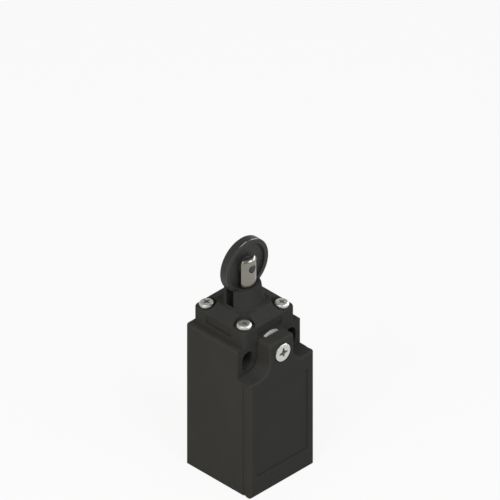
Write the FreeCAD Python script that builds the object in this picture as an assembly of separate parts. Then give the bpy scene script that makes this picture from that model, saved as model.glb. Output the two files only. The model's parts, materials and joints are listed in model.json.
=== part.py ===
import FreeCAD, Part
import math
import os

# Roller plunger limit switch in a 30 mm wide moulded housing.
# Frame: millimetres, +Z up, origin at the centre of the bottom face.
# The front, with the cover and its screw, faces -Y; +X is to the right seen from the front.
# "Depth" always means the distance behind the front face of the cover.

# Housing, a moulded box that is open at the front
body_width = 30.0
body_depth = 30.6
body_height = 57.0
housing_wall = 2.5
back_edge_radius = 0.8
top_edge_radius = 1.3
foot_edge_radius = 0.3
recess_edge_radius = 0.4
cavity_corner_radius = 1.2
back_relief_depth = 0.25
back_relief_bottom = 5.0
back_relief_drop = 10.0

# Upper front corners, cut away so that the fixing screws can be reached
corner_cut_drop = 10.7
corner_cut_depth = 6.45
corner_cut_fillet = 4.5

# Fixing slots, through from the corner cut to the back
slot_edge = 2.35
slot_width = 5.3
slot_height = 7.3
slot_rise = 1.25

# Conduit entry in the bottom, bored to the core diameter of an M20 x 1.5 thread
conduit_bore = 18.5
conduit_wall = 2.1
conduit_length = 9.0
conduit_chamfer = 0.7

# Front cover with its tongue, bare label panel and rim gasket
cover_depth = 3.7
cover_wall = 2.0
cover_lip_depth = 1.4
cover_lip_setback = 0.15
cover_edge_radius = 1.0
tongue_gap = 1.7
tongue_rise = 1.3
tongue_corner_radius = 1.2
panel_side = 3.0
panel_head = 5.8
panel_bottom = 7.9
panel_depth = 0.35
panel_corner_radius = 0.8
gasket_width = 1.2
gasket_thickness = 0.8
gasket_inset = 0.7
gasket_corner_radius = 1.0

# Cover screw with the flat-sided washer that keeps it in the tongue
cover_screw_drop = 3.9
cover_screw_head = 6.7
cover_screw_head_height = 2.0
cover_screw_proud = 0.55
cover_screw_shank = 3.9
cover_screw_web = 0.8
keeper_show = 0.8
keeper_side_wall = 0.9
keeper_thickness = 0.9
keeper_foot_gap = 0.5

# Head, a square block that carries the plunger in a tapered collar
head_side_margin = 2.85
head_back_margin = 0.35
head_overhang = 0.5
head_corner_radius = 2.0
head_edge_height = 6.4
head_edge_radius = 0.8
head_band_height = 2.2
head_side_setback = 0.5
head_side_top_band = 0.6
head_side_width = 11.6
crown_rise = 2.3
crown_margin = 0.5
crown_corner_radius = 1.0
collar_base_diameter = 13.8
collar_top_diameter = 11.5
collar_height = 7.1
collar_base_fillet = 0.4
collar_top_radius = 0.35
cheek_inset = 0.1
cheek_top_width = 5.9
cheek_base_width = 4.8
cheek_edge_radius = 0.45
roller_slot_width = 3.25
roller_slot_room = 1.0
chamber_diameter = 11.0
spigot_wall = 0.7
spigot_length = 9.5

# Head screws, one in each corner
head_screw_inset = 3.275
head_screw_shank = 2.9
head_screw_head = 5.15
head_screw_head_height = 1.6
head_screw_seat = 7.3
head_screw_seat_depth = 0.1
head_screw_grip = 2.0

# Pan heads and their cross recesses, for every screw
recess_depth = 1.0
recess_slot_width = 0.9
recess_share = 0.6
pan_lip = 0.3
pan_undercut = 0.2
pan_dome_share = 0.75
tip_rounding_share = 0.2

# Plunger, a turned rod with a fork for the roller
rod_diameter = 8.2
rod_rise = 26.85
rod_edge_radius = 1.4
fork_gap = 4.2
flange_diameter = 10.4
flange_thickness = 1.5
stem_diameter = 5.0
stem_edge_radius = 0.3
press_travel = 5.0

# Roller and its axle
roller_diameter = 20.0
roller_width = 3.05
roller_rise = 23.2
rim_width = 1.8
rim_edge_radius = 0.2
rim_inner_radius = 0.2
web_width = 1.2
web_fillet = 0.3
hub_diameter = 5.8
axle_diameter = 3.0
axle_overhang = 0.05
axle_chamfer = 0.25

# Bush, seal and return spring inside the head
bush_length = 2.0
seal_length = 1.8
retainer_thickness = 1.2
spring_wire = 0.8
spring_diameter = 9.2
spring_turns = 4.0
head_gasket_inner = 16.0
head_gasket_width = 1.4

# Contact block, screwed to two bosses on the back wall
block_side_gap = 0.7
wiring_height = 6.0
block_headroom = 3.4
terminal_room = 6.3
boss_length = 2.1
block_corner_radius = 0.8
block_floor = 1.5
block_roof = 2.0
block_side = 3.2
block_rear = 1.8
lid_thickness = 2.2
lid_margin = 1.2
block_screw_inset = 1.6
block_screw_rise = 10.4
block_screw_shank = 2.5
block_screw_head = 3.9
block_screw_head_height = 1.6
boss_diameter = 4.8
boss_bite = 1.3

# Moving contacts inside the block
actuator_diameter = 4.8
actuator_flange = 6.4
actuator_flange_thickness = 1.7
actuator_edge_radius = 0.6
carrier_width = 5.0
carrier_depth = 6.0
carrier_rise = 5.5
carrier_height = 9.0
bridge_end_gap = 1.1
bridge_depth = 3.6
bridge_thickness = 0.8
tip_diameter = 2.2
tip_height = 0.6
tip_inset = 1.2
contact_travel = 2.5
contact_gap = 0.1
nc_bridge_rise = 5.6
no_bridge_rise = 3.0
transfer_spring_diameter = 4.6
carrier_spring_diameter = 4.4
small_wire = 0.5
small_spring_turns = 4.0

# Terminals on the front of the block
terminal_width = 6.0
terminal_height = 6.0
terminal_thickness = 1.0
terminal_inset = 1.4
terminal_arm_width = 4.0
clamp_size = 5.2
clamp_thickness = 0.9
clamp_gap = 0.1
clamp_corner_radius = 0.5
terminal_screw_shank = 3.0
terminal_screw_head = 5.0
terminal_screw_head_height = 1.7

# Clearances
fit_gap = 0.05
running_gap = 0.05
side_gap = 0.3
seat_gap = 0.1
hole_gap = 0.15

# Places in depth and height that follow from the sizes above
back = (body_depth + cover_screw_proud) / 2.0
front = back - body_depth
half_body = body_width / 2.0
corner_cut_height = body_height - corner_cut_drop
cavity_top = corner_cut_height - housing_wall
cavity_back = back - housing_wall
tongue_top = body_height + tongue_rise
cover_screw_height = body_height - cover_screw_drop
conduit_y = (front + cover_depth + back) / 2.0
panel_width = body_width - 2 * panel_side
panel_top = corner_cut_height - panel_head

# Head and plunger, whose axis is also that of the contacts
head_front_depth = corner_cut_depth - head_overhang
head_width = body_width - 2 * head_side_margin
head_depth = body_depth - head_front_depth - head_back_margin
axis_depth = head_front_depth + head_depth / 2.0
axis_y = front + axis_depth
head_edge = body_height + head_edge_height
crown_top = head_edge + crown_rise
crown_top_width = collar_base_diameter + 2 * crown_margin
collar_top = crown_top + collar_height
roller_height = body_height + roller_rise
rod_top = body_height + rod_rise
neck_radius = chamber_diameter / 2.0 + spigot_wall + fit_gap
spigot_bottom = body_height - spigot_length
retainer_top = spigot_bottom + retainer_thickness
bush_bottom = head_edge - seal_length - bush_length
flange_top = bush_bottom - seat_gap
flange_bottom = flange_top - flange_thickness

# Slots, tongue and the grip of the cover screw
slot_centre = corner_cut_height + slot_rise + slot_height / 2.0
slot_spacing = body_width - 2 * slot_edge - slot_width
tongue_width = slot_spacing - slot_width - 2 * tongue_gap
keeper_diameter = 2 * (cover_screw_drop + tongue_rise + keeper_show)
keeper_width = tongue_width - 2 * keeper_side_wall
keeper_back_depth = head_front_depth - seat_gap
cover_screw_grip = axis_depth - neck_radius - cover_screw_web - side_gap - corner_cut_depth

# Contact block and what stands in it
block_width = body_width - 2 * (housing_wall + block_side_gap)
block_bottom = conduit_length + wiring_height
block_top = cavity_top - block_headroom
block_front = cover_depth + terminal_room
block_back = body_depth - housing_wall - boss_length
block_screw_spacing = block_width - 2 * block_screw_inset
block_screw_height = block_bottom + block_screw_rise
block_roof_bottom = block_top - block_roof
chamber_half = block_width / 2.0 - block_side
chamber_floor = block_bottom + block_floor
actuator_top = block_top + press_travel + seat_gap
stem_bottom = actuator_top + seat_gap
actuator_flange_top = block_roof_bottom - seat_gap
actuator_flange_bottom = actuator_flange_top - actuator_flange_thickness
carrier_bottom = chamber_floor + carrier_rise
carrier_top = carrier_bottom + carrier_height
nc_bridge_height = carrier_bottom + nc_bridge_rise
no_bridge_height = carrier_bottom + no_bridge_rise
bridge_length = 2 * (chamber_half - bridge_end_gap)
tip_spacing = bridge_length - 2 * tip_inset
terminal_offset = chamber_half - terminal_inset

UP = FreeCAD.Vector(0, 0, 1)
BACKWARDS = FreeCAD.Vector(0, 1, 0)


def depth_y(depth):
    """Y of a plane that lies this far behind the front face."""
    return front + depth


def rounded_outline(corners):
    """Closed flat wire through (u, v, radius) corners, each rounded by its own radius."""
    starts = []
    middles = []
    ends = []
    count = len(corners)
    for index in range(count):
        u, v, radius = corners[index]
        point = FreeCAD.Vector(u, v, 0)
        before = FreeCAD.Vector(corners[index - 1][0], corners[index - 1][1], 0)
        following = corners[(index + 1) % count]
        after = FreeCAD.Vector(following[0], following[1], 0)
        if radius <= 0:
            starts.append(point)
            middles.append(None)
            ends.append(point)
            continue
        towards_before = (before - point).normalize()
        towards_after = (after - point).normalize()
        half_angle = towards_before.getAngle(towards_after) / 2.0
        reach = radius / math.tan(half_angle)
        bisector = (towards_before + towards_after).normalize()
        centre = point + bisector * (radius / math.sin(half_angle))
        starts.append(point + towards_before * reach)
        middles.append(centre - bisector * radius)
        ends.append(point + towards_after * reach)
    edges = []
    for index in range(count):
        if middles[index] is not None:
            edges.append(Part.Arc(starts[index], middles[index], ends[index]).toShape())
        next_start = starts[(index + 1) % count]
        if ends[index].distanceToPoint(next_start) > 1e-6:
            edges.append(Part.LineSegment(ends[index], next_start).toShape())
    return Part.Wire(edges)


def rectangle(u_low, u_high, v_low, v_high, radius):
    """Corners of a rectangle with one radius all round."""
    return [(u_low, v_low, radius), (u_high, v_low, radius),
            (u_high, v_high, radius), (u_low, v_high, radius)]


def upright_prism(corners, z_low, z_high):
    """Outline in X and Y, raised from z_low to z_high."""
    face = Part.Face(rounded_outline(corners))
    face.translate(FreeCAD.Vector(0, 0, z_low))
    return face.extrude(FreeCAD.Vector(0, 0, z_high - z_low))


def facing_prism(corners, y_low, y_high):
    """Outline in X and Z, carried backwards from y_low to y_high."""
    face = Part.Face(rounded_outline(corners))
    face.rotate(FreeCAD.Vector(0, 0, 0), FreeCAD.Vector(1, 0, 0), 90)
    face.translate(FreeCAD.Vector(0, y_low, 0))
    return face.extrude(FreeCAD.Vector(0, y_high - y_low, 0))


def box(x_low, x_high, y_low, y_high, z_low, z_high):
    corner = FreeCAD.Vector(x_low, y_low, z_low)
    return Part.makeBox(x_high - x_low, y_high - y_low, z_high - z_low, corner)


def upright_cylinder(diameter, x, y, z_low, z_high):
    return Part.makeCylinder(diameter / 2.0, z_high - z_low, FreeCAD.Vector(x, y, z_low), UP)


def facing_cylinder(diameter, x, z, y_low, y_high):
    return Part.makeCylinder(diameter / 2.0, y_high - y_low, FreeCAD.Vector(x, y_low, z), BACKWARDS)


def upright_ring(outer, inner, y, z_low, z_high):
    ring = upright_cylinder(outer, 0, y, z_low, z_high)
    return ring.cut(upright_cylinder(inner, 0, y, z_low, z_high))


def turned(profile, y):
    """Solid of revolution about the vertical line through (0, y); profile holds (r, z, radius)."""
    face = Part.Face(rounded_outline(profile))
    face.rotate(FreeCAD.Vector(0, 0, 0), FreeCAD.Vector(1, 0, 0), 90)
    face.translate(FreeCAD.Vector(0, y, 0))
    return face.revolve(FreeCAD.Vector(0, y, 0), UP, 360)


def head_screw_places():
    across = head_width / 2.0 - head_screw_inset
    along = head_depth / 2.0 - head_screw_inset
    return [(x, axis_y + y) for x in (-across, across) for y in (-along, along)]


def cross_recess(width, depth):
    """Cross-shaped driver recess, centred on the Z axis with its mouth at Z = 0."""
    half_length = width / 2.0
    half_slot = recess_slot_width / 2.0
    along_x = box(-half_length, half_length, -half_slot, half_slot, -depth, depth)
    along_y = box(-half_slot, half_slot, -half_length, half_length, -depth, depth)
    return along_x.fuse(along_y)


def pan_screw(head_diameter, head_height, shank_diameter, shank_length):
    """Pan-head screw that stands on Z = 0, its shank below and its head above."""
    head_radius = head_diameter / 2.0
    shank_radius = shank_diameter / 2.0
    profile = [(0, -shank_length, 0),
               (shank_radius, -shank_length, tip_rounding_share * shank_radius),
               (shank_radius, 0, 0),
               (head_radius - pan_undercut, 0, 0),
               (head_radius, pan_lip, 0),
               (head_radius, head_height, pan_dome_share * (head_height - pan_lip)),
               (0, head_height, 0)]
    screw = turned(profile, 0)
    driver = cross_recess(recess_share * head_diameter, recess_depth)
    driver.translate(FreeCAD.Vector(0, 0, head_height))
    return screw.cut(driver)


def facing_screw(x, z, seat_y, screw):
    """The screw turned so that its head faces the front, seated at seat_y."""
    placed = screw.copy()
    placed.rotate(FreeCAD.Vector(0, 0, 0), FreeCAD.Vector(1, 0, 0), 90)
    placed.translate(FreeCAD.Vector(x, seat_y, z))
    return placed


def coil_spring(outer_diameter, wire, z_low, z_high, turns):
    """Round-wire compression spring; each half turn is an arc, tilted by half the pitch."""
    mean_radius = (outer_diameter - wire) / 2.0
    half_pitch = (z_high - z_low - wire) / (2.0 * turns)
    tilt = FreeCAD.Vector(half_pitch / 2.0, 0, mean_radius).normalize()
    half_turns = []
    for index in range(round(2 * turns)):
        side = 1 if index % 2 == 0 else -1
        height = z_low + wire / 2.0 + index * half_pitch
        start = FreeCAD.Vector(side * mean_radius, axis_y, height)
        section = Part.Face(Part.Wire(Part.makeCircle(wire / 2.0, start, BACKWARDS)))
        middle = FreeCAD.Vector(0, axis_y, height + half_pitch / 2.0)
        axis = FreeCAD.Vector(side * tilt.x, 0, tilt.z)
        half_turns.append(section.revolve(middle, axis, 180))
    return half_turns[0].fuse(half_turns[1:])


def make_housing():
    """Moulded box with an open front, a thick roof and a threaded conduit collar."""
    lower = upright_prism([(-half_body, depth_y(cover_depth), 0),
                           (half_body, depth_y(cover_depth), 0),
                           (half_body, back, back_edge_radius),
                           (-half_body, back, back_edge_radius)], 0, corner_cut_height)
    upper = upright_prism([(-half_body, depth_y(corner_cut_depth), recess_edge_radius),
                           (half_body, depth_y(corner_cut_depth), recess_edge_radius),
                           (half_body, back, back_edge_radius),
                           (-half_body, back, back_edge_radius)], corner_cut_height, body_height)
    elevation = facing_prism([(-half_body, 0, foot_edge_radius), (half_body, 0, foot_edge_radius),
                              (half_body, body_height, top_edge_radius),
                              (-half_body, body_height, top_edge_radius)], front, back)
    housing = lower.fuse(upper).common(elevation)
    inner_half = half_body - housing_wall
    cavity = upright_prism([(-inner_half, front, 0), (inner_half, front, 0),
                            (inner_half, cavity_back, cavity_corner_radius),
                            (-inner_half, cavity_back, cavity_corner_radius)], housing_wall, cavity_top)
    housing = housing.cut(cavity)
    additions = [upright_cylinder(conduit_bore + 2 * conduit_wall, 0, conduit_y, 0.5 * housing_wall,
                                  conduit_length)]
    for side in (-1, 1):
        additions.append(facing_cylinder(boss_diameter, side * block_screw_spacing / 2.0,
                                         block_screw_height, depth_y(block_back),
                                         cavity_back + 0.5 * housing_wall))
    housing = housing.fuse(additions)
    return housing.cut(housing_cuts()).removeSplitter()


def housing_cuts():
    """Everything that is bored or cored out of the housing's walls."""
    radius = conduit_bore / 2.0
    cuts = [upright_cylinder(conduit_bore, 0, conduit_y, 0, conduit_length),
            Part.makeCone(radius + conduit_chamfer, radius, conduit_chamfer,
                          FreeCAD.Vector(0, conduit_y, 0), UP),
            upright_cylinder(2 * neck_radius, 0, axis_y, cavity_top, body_height),
            box(-half_body, half_body, back - back_relief_depth, back,
                back_relief_bottom, body_height - back_relief_drop),
            facing_cylinder(cover_screw_shank + 2 * fit_gap, 0, cover_screw_height,
                            depth_y(corner_cut_depth),
                            depth_y(corner_cut_depth) + cover_screw_grip + side_gap)]
    for side in (-1, 1):
        middle = side * slot_spacing / 2.0
        outline = rectangle(middle - slot_width / 2.0, middle + slot_width / 2.0,
                            slot_centre - slot_height / 2.0, slot_centre + slot_height / 2.0,
                            0.4999 * slot_width)
        cuts.append(facing_prism(outline, depth_y(corner_cut_depth), back))
        cuts.append(facing_cylinder(block_screw_shank + 2 * fit_gap,
                                    side * block_screw_spacing / 2.0, block_screw_height,
                                    depth_y(block_back), cavity_back + boss_bite))
    for x, y in head_screw_places():
        cuts.append(upright_cylinder(head_screw_shank + 2 * fit_gap, x, y, slot_centre, body_height))
    return cuts


def cover_outline(inset):
    """Front outline of the cover with its tongue, drawn in from the sides and foot by inset."""
    half = half_body - inset
    tongue = tongue_width / 2.0
    return [(-half, inset, foot_edge_radius), (half, inset, foot_edge_radius),
            (half, corner_cut_height, 0), (tongue, corner_cut_height, corner_cut_fillet),
            (tongue, tongue_top, tongue_corner_radius), (-tongue, tongue_top, tongue_corner_radius),
            (-tongue, corner_cut_height, corner_cut_fillet), (-half, corner_cut_height, 0)]


def round_front_edges(shape):
    """Rounds every edge of the front face except the one along the foot."""
    edges = []
    for edge in shape.Edges:
        box_of_edge = edge.BoundBox
        on_front = box_of_edge.YMax < front + 1e-6
        at_foot = box_of_edge.ZMax < foot_edge_radius + 1e-6
        if on_front and not at_foot:
            edges.append(edge)
    return shape.makeFillet(cover_edge_radius, edges)


def gasket_ring(clearance):
    """Flat ring that runs round the rim of the cover."""
    outer_inset = gasket_inset + clearance
    inner_inset = gasket_inset + gasket_width - clearance
    y_low = depth_y(cover_depth - gasket_thickness)
    y_high = depth_y(cover_depth)
    solids = []
    for inset in (outer_inset, inner_inset):
        outline = rectangle(-half_body + inset, half_body - inset, inset, corner_cut_height - inset,
                            gasket_corner_radius)
        solids.append(facing_prism(outline, y_low, y_high))
    return solids[0].cut(solids[1])


def keeper_blank(clearance, y_low, y_high):
    """Round disc with two flat sides, round the cover screw."""
    disc = facing_cylinder(keeper_diameter + 2 * clearance, 0, cover_screw_height, y_low, y_high)
    half = keeper_width / 2.0 + clearance
    foot = corner_cut_height + keeper_foot_gap - clearance
    band = box(-half, half, y_low, y_high, foot, head_edge)
    return disc.common(band)


def make_front_cover():
    """Moulded cover with a tongue that carries its one screw."""
    slab_back = depth_y(cover_depth - cover_lip_depth)
    slab = facing_prism(cover_outline(0), front, slab_back)
    cover = round_front_edges(slab)
    lip = facing_prism(cover_outline(cover_lip_setback), slab_back, depth_y(cover_depth))
    behind = facing_prism(cover_outline(0), slab_back, depth_y(corner_cut_depth))
    behind = behind.common(box(-half_body, half_body, front, back, corner_cut_height, tongue_top))
    cover = cover.fuse([lip, behind])
    inner_half = half_body - housing_wall
    hollow = box(-inner_half, inner_half, depth_y(cover_wall), depth_y(cover_depth),
                 housing_wall, cavity_top)
    panel = facing_prism(rectangle(-panel_width / 2.0, panel_width / 2.0, panel_bottom, panel_top,
                                   panel_corner_radius), front, front + panel_depth)
    under_head = box(-half_body, half_body, depth_y(head_front_depth - fit_gap),
                     depth_y(corner_cut_depth), body_height - fit_gap, tongue_top)
    seat_depth = cover_screw_head_height - cover_screw_proud
    keeper_front = depth_y(keeper_back_depth - keeper_thickness - fit_gap)
    cuts = [hollow, panel, gasket_ring(0), under_head,
            facing_cylinder(cover_screw_head + 4 * hole_gap, 0, cover_screw_height, front,
                            depth_y(seat_depth)),
            facing_cylinder(cover_screw_shank + 2 * hole_gap, 0, cover_screw_height, front,
                            depth_y(corner_cut_depth)),
            keeper_blank(fit_gap, keeper_front, depth_y(corner_cut_depth))]
    return cover.cut(cuts).removeSplitter()


def make_cover_gasket():
    """Rubber ring pressed between the cover's rim and the housing."""
    return gasket_ring(fit_gap)


def make_cover_screw():
    """Captive pan-head screw with a cross recess."""
    seat_depth = cover_screw_head_height - cover_screw_proud
    length = corner_cut_depth - seat_depth + cover_screw_grip
    screw = pan_screw(cover_screw_head, cover_screw_head_height, cover_screw_shank, length)
    return facing_screw(0, cover_screw_height, depth_y(seat_depth), screw)


def make_cover_screw_keeper():
    """Flat-sided plastic washer behind the tongue."""
    y_high = depth_y(keeper_back_depth)
    blank = keeper_blank(0, y_high - keeper_thickness, y_high)
    hole = facing_cylinder(cover_screw_shank + 2 * fit_gap, 0, cover_screw_height, front, y_high)
    return blank.cut(hole)


def plan_of_head(width, depth, radius, z):
    """Rounded rectangle about the plunger's axis."""
    wire = rounded_outline(rectangle(-width / 2.0, width / 2.0, axis_y - depth / 2.0,
                                     axis_y + depth / 2.0, radius))
    wire.translate(FreeCAD.Vector(0, 0, z))
    return wire


def plan_of_collar(diameter, reach, end_width, z):
    """An arc about the axis that runs out over two tangents to a flat end on the left."""
    radius = diameter / 2.0
    half = end_width / 2.0
    angle = math.atan2(half, -reach) - math.acos(radius / math.hypot(reach, half))
    touch_back = FreeCAD.Vector(radius * math.cos(angle), radius * math.sin(angle), 0)
    touch_front = FreeCAD.Vector(touch_back.x, -touch_back.y, 0)
    end_back = FreeCAD.Vector(-reach, half, 0)
    end_front = FreeCAD.Vector(-reach, -half, 0)
    wire = Part.Wire([Part.LineSegment(end_back, end_front).toShape(),
                      Part.LineSegment(end_front, touch_front).toShape(),
                      Part.Arc(touch_front, FreeCAD.Vector(radius, 0, 0), touch_back).toShape(),
                      Part.LineSegment(touch_back, end_back).toShape()])
    wire.translate(FreeCAD.Vector(0, axis_y, z))
    return wire


def level_edges(shape, z, half_width, half_depth):
    """Edges that lie at this height, no further from the axis than the two half sizes."""
    edges = []
    for edge in shape.Edges:
        bounds = edge.BoundBox
        level = abs(bounds.ZMin - z) < 1e-6 and abs(bounds.ZMax - z) < 1e-6
        within_x = max(-bounds.XMin, bounds.XMax) < half_width
        within_y = max(axis_y - bounds.YMin, bounds.YMax - axis_y) < half_depth
        if level and within_x and within_y:
            edges.append(edge)
    return edges


def make_collar():
    """Tapered collar; its left side is drawn out into two cheeks beside the roller slot."""
    reach = collar_base_diameter / 2.0 - cheek_inset
    base = plan_of_collar(collar_base_diameter, reach, cheek_base_width, crown_top)
    top = plan_of_collar(collar_top_diameter, reach, cheek_top_width, collar_top)
    collar = Part.makeLoft([base, top], True, True)
    ends = [edge for edge in collar.Edges if edge.BoundBox.XMax < 1e-6 - reach
            and edge.BoundBox.ZLength > collar_height / 2.0]
    collar = collar.makeFillet(cheek_edge_radius, ends)
    return collar.makeFillet(collar_top_radius, level_edges(collar, collar_top, reach + 1, reach + 1))


def make_head():
    """Square head with screw corners, a low crown and the slotted collar, in one moulding."""
    foot = plan_of_head(head_width, head_depth, head_corner_radius, body_height)
    plate = Part.Face(foot).extrude(FreeCAD.Vector(0, 0, head_edge_height))
    crown = Part.makeLoft([plan_of_head(head_width, head_depth, head_corner_radius, head_edge),
                           plan_of_head(crown_top_width, crown_top_width, crown_corner_radius,
                                        crown_top)], True, True)
    block = plate.fuse(crown)
    block = block.makeFillet(head_edge_radius, level_edges(block, head_edge, head_width, head_depth))
    head = block.fuse(make_collar())
    foot_half = crown_top_width / 2.0 - crown_margin / 2.0
    head = head.makeFillet(collar_base_fillet, level_edges(head, crown_top, foot_half, foot_half))
    spigot = upright_cylinder(chamber_diameter + 2 * spigot_wall, 0, axis_y, spigot_bottom, body_height)
    return head.fuse(spigot).cut(head_cuts()).removeSplitter()


def side_pocket(half, quarter):
    """Wedge that sets one side of the head back, most at its foot and nothing at its top."""
    band_top = body_height + head_band_height
    fade = head_edge - head_side_top_band
    wedge = Part.makePolygon([FreeCAD.Vector(-head_side_width / 2.0, -half, band_top),
                              FreeCAD.Vector(-head_side_width / 2.0, head_side_setback - half, band_top),
                              FreeCAD.Vector(-head_side_width / 2.0, -half, fade),
                              FreeCAD.Vector(-head_side_width / 2.0, -half, band_top)])
    pocket = Part.Face(wedge).extrude(FreeCAD.Vector(head_side_width, 0, 0))
    pocket.rotate(FreeCAD.Vector(0, 0, 0), UP, 90 * quarter)
    pocket.translate(FreeCAD.Vector(0, axis_y, 0))
    return pocket


def head_cuts():
    """Bores, roller slot, screw seats, side pockets and gasket groove of the head."""
    half_slot = roller_slot_width / 2.0
    cuts = [facing_cylinder(roller_diameter + 2 * roller_slot_room, 0, roller_height - press_travel,
                            axis_y - half_slot, axis_y + half_slot),
            upright_cylinder(rod_diameter + 2 * running_gap, 0, axis_y, head_edge, collar_top),
            upright_cylinder(chamber_diameter, 0, axis_y, spigot_bottom, head_edge),
            upright_ring(head_gasket_inner + 2 * head_gasket_width, head_gasket_inner, axis_y,
                         body_height, body_height + gasket_thickness)]
    for quarter in range(4):
        half = head_depth / 2.0 if quarter % 2 == 0 else head_width / 2.0
        cuts.append(side_pocket(half, quarter))
    for x, y in head_screw_places():
        cuts.append(upright_cylinder(head_screw_seat, x, y, head_edge - head_screw_seat_depth,
                                     crown_top))
        cuts.append(upright_cylinder(head_screw_shank + 2 * hole_gap, x, y, body_height, head_edge))
    return cuts


def make_head_screws():
    """Four pan-head screws, one in each corner of the head."""
    seat = head_edge - head_screw_seat_depth
    length = seat - body_height + head_screw_grip
    screw = pan_screw(head_screw_head, head_screw_head_height, head_screw_shank, length)
    screws = []
    for x, y in head_screw_places():
        placed = screw.copy()
        placed.translate(FreeCAD.Vector(x, y, seat))
        screws.append(placed)
    return Part.makeCompound(screws)


def make_head_gasket():
    """Rubber ring in the groove under the head."""
    inner = head_gasket_inner + 2 * fit_gap
    outer = head_gasket_inner + 2 * head_gasket_width - 2 * fit_gap
    return upright_ring(outer, inner, axis_y, body_height, body_height + gasket_thickness)


def make_rod_seal():
    """Rubber wiper ring at the top of the chamber."""
    return upright_ring(chamber_diameter - 2 * fit_gap, rod_diameter + 2 * running_gap, axis_y,
                        head_edge - seal_length, head_edge)


def make_guide_bush():
    """Plain bush that guides the rod and stops its flange."""
    return upright_ring(chamber_diameter - 2 * fit_gap, rod_diameter + 2 * running_gap, axis_y,
                        bush_bottom, bush_bottom + bush_length)


def make_spring_retainer():
    """Ring snapped into the foot of the spigot, under the return spring."""
    return upright_ring(chamber_diameter - 2 * fit_gap, stem_diameter + 2 * running_gap, axis_y,
                        spigot_bottom, retainer_top)


def make_return_spring():
    """Spring that lifts the plunger back up."""
    return coil_spring(spring_diameter, spring_wire, retainer_top, flange_bottom, spring_turns)


def make_plunger():
    """Turned steel rod: fork at the top, stop flange and thin stem below."""
    rod = rod_diameter / 2.0
    flange = flange_diameter / 2.0
    stem = stem_diameter / 2.0
    profile = [(0, stem_bottom, 0), (stem, stem_bottom, stem_edge_radius), (stem, flange_bottom, 0),
               (flange, flange_bottom, 0), (flange, flange_top, 0), (rod, flange_top, 0),
               (rod, rod_top, rod_edge_radius), (0, rod_top, 0)]
    plunger = turned(profile, axis_y)
    fork_floor = roller_height - roller_diameter / 2.0 - side_gap
    fork = box(-rod_diameter, rod_diameter, axis_y - fork_gap / 2.0, axis_y + fork_gap / 2.0,
               fork_floor, rod_top)
    hole = facing_cylinder(axle_diameter + 2 * fit_gap, 0, roller_height, axis_y - rod_diameter,
                           axis_y + rod_diameter)
    return plunger.cut([fork, hole])


def make_roller_axle():
    """Pin through both ears of the fork."""
    half = rod_diameter / 2.0 + axle_overhang
    pin = facing_cylinder(axle_diameter, 0, roller_height, axis_y - half, axis_y + half)
    return pin.makeChamfer(axle_chamfer, [edge for edge in pin.Edges if edge.BoundBox.YLength < 1e-6])


def make_roller():
    """Moulded roller with a raised rim, a thin web and a hub that fills the fork."""
    outer = roller_diameter / 2.0
    inner_rim = outer - rim_width
    hub = hub_diameter / 2.0
    bore = axle_diameter / 2.0 + running_gap
    rim = roller_width / 2.0
    web = web_width / 2.0
    hub_half = fork_gap / 2.0 - seat_gap
    half_profile = [(bore, hub_half, 0), (hub, hub_half, 0), (hub, web, web_fillet),
                    (inner_rim, web, web_fillet), (inner_rim, rim, rim_inner_radius),
                    (outer, rim, rim_edge_radius)]
    profile = [(r, -z, radius) for r, z, radius in half_profile]
    profile.extend([(r, z, radius) for r, z, radius in reversed(half_profile)])
    roller = turned(profile, 0)
    roller.rotate(FreeCAD.Vector(0, 0, 0), FreeCAD.Vector(1, 0, 0), 90)
    roller.translate(FreeCAD.Vector(0, axis_y, roller_height))
    return roller


def block_screw_cut(diameter):
    """Two holes for the screws that hold the contact block."""
    return [facing_cylinder(diameter, side * block_screw_spacing / 2.0, block_screw_height,
                            front, depth_y(block_back)) for side in (-1, 1)]


def lid_outline(clearance):
    half = chamber_half + lid_margin - clearance
    return rectangle(-half, half, chamber_floor - lid_margin + clearance,
                     block_roof_bottom + lid_margin - clearance, 0)


def make_block_base():
    """Moulded contact block with a chamber that opens to the front."""
    base = facing_prism(rectangle(-block_width / 2.0, block_width / 2.0, block_bottom, block_top,
                                  block_corner_radius), depth_y(block_front), depth_y(block_back))
    cuts = [box(-chamber_half, chamber_half, front, depth_y(block_back - block_rear),
                chamber_floor, block_roof_bottom),
            facing_prism(lid_outline(0), depth_y(block_front), depth_y(block_front + lid_thickness)),
            upright_cylinder(actuator_diameter + 2 * hole_gap, 0, axis_y, chamber_floor, block_top)]
    cuts.extend(block_screw_cut(block_screw_shank + 2 * hole_gap))
    return base.cut(cuts)


def terminal_places():
    """Side and row of each terminal: the row gives its arm height, screw height and way up."""
    nc_arm = nc_bridge_height + bridge_thickness + 2 * tip_height + contact_gap
    no_arm = no_bridge_height - 2 * tip_height - contact_travel - contact_gap - terminal_thickness
    rows = [("nc", nc_arm, nc_arm + terminal_height / 2.0, 1),
            ("no", no_arm, no_arm + terminal_thickness - terminal_height / 2.0, -1)]
    sides = [("left", -1), ("right", 1)]
    return [(row, side) for row in rows for side in sides]


def make_block_lid():
    """Plate that closes the chamber and carries the terminals."""
    lid = facing_prism(lid_outline(fit_gap), depth_y(block_front), depth_y(block_front + lid_thickness))
    cuts = block_screw_cut(block_screw_shank + 2 * hole_gap)
    for row, side in terminal_places():
        middle = side[1] * terminal_offset
        half = terminal_arm_width / 2.0 + hole_gap
        cuts.append(box(middle - half, middle + half, front, back,
                        row[1] - hole_gap, row[1] + terminal_thickness + hole_gap))
        cuts.append(facing_cylinder(terminal_screw_shank + 2 * hole_gap, middle, row[2], front, back))
    return lid.cut(cuts)


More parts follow.
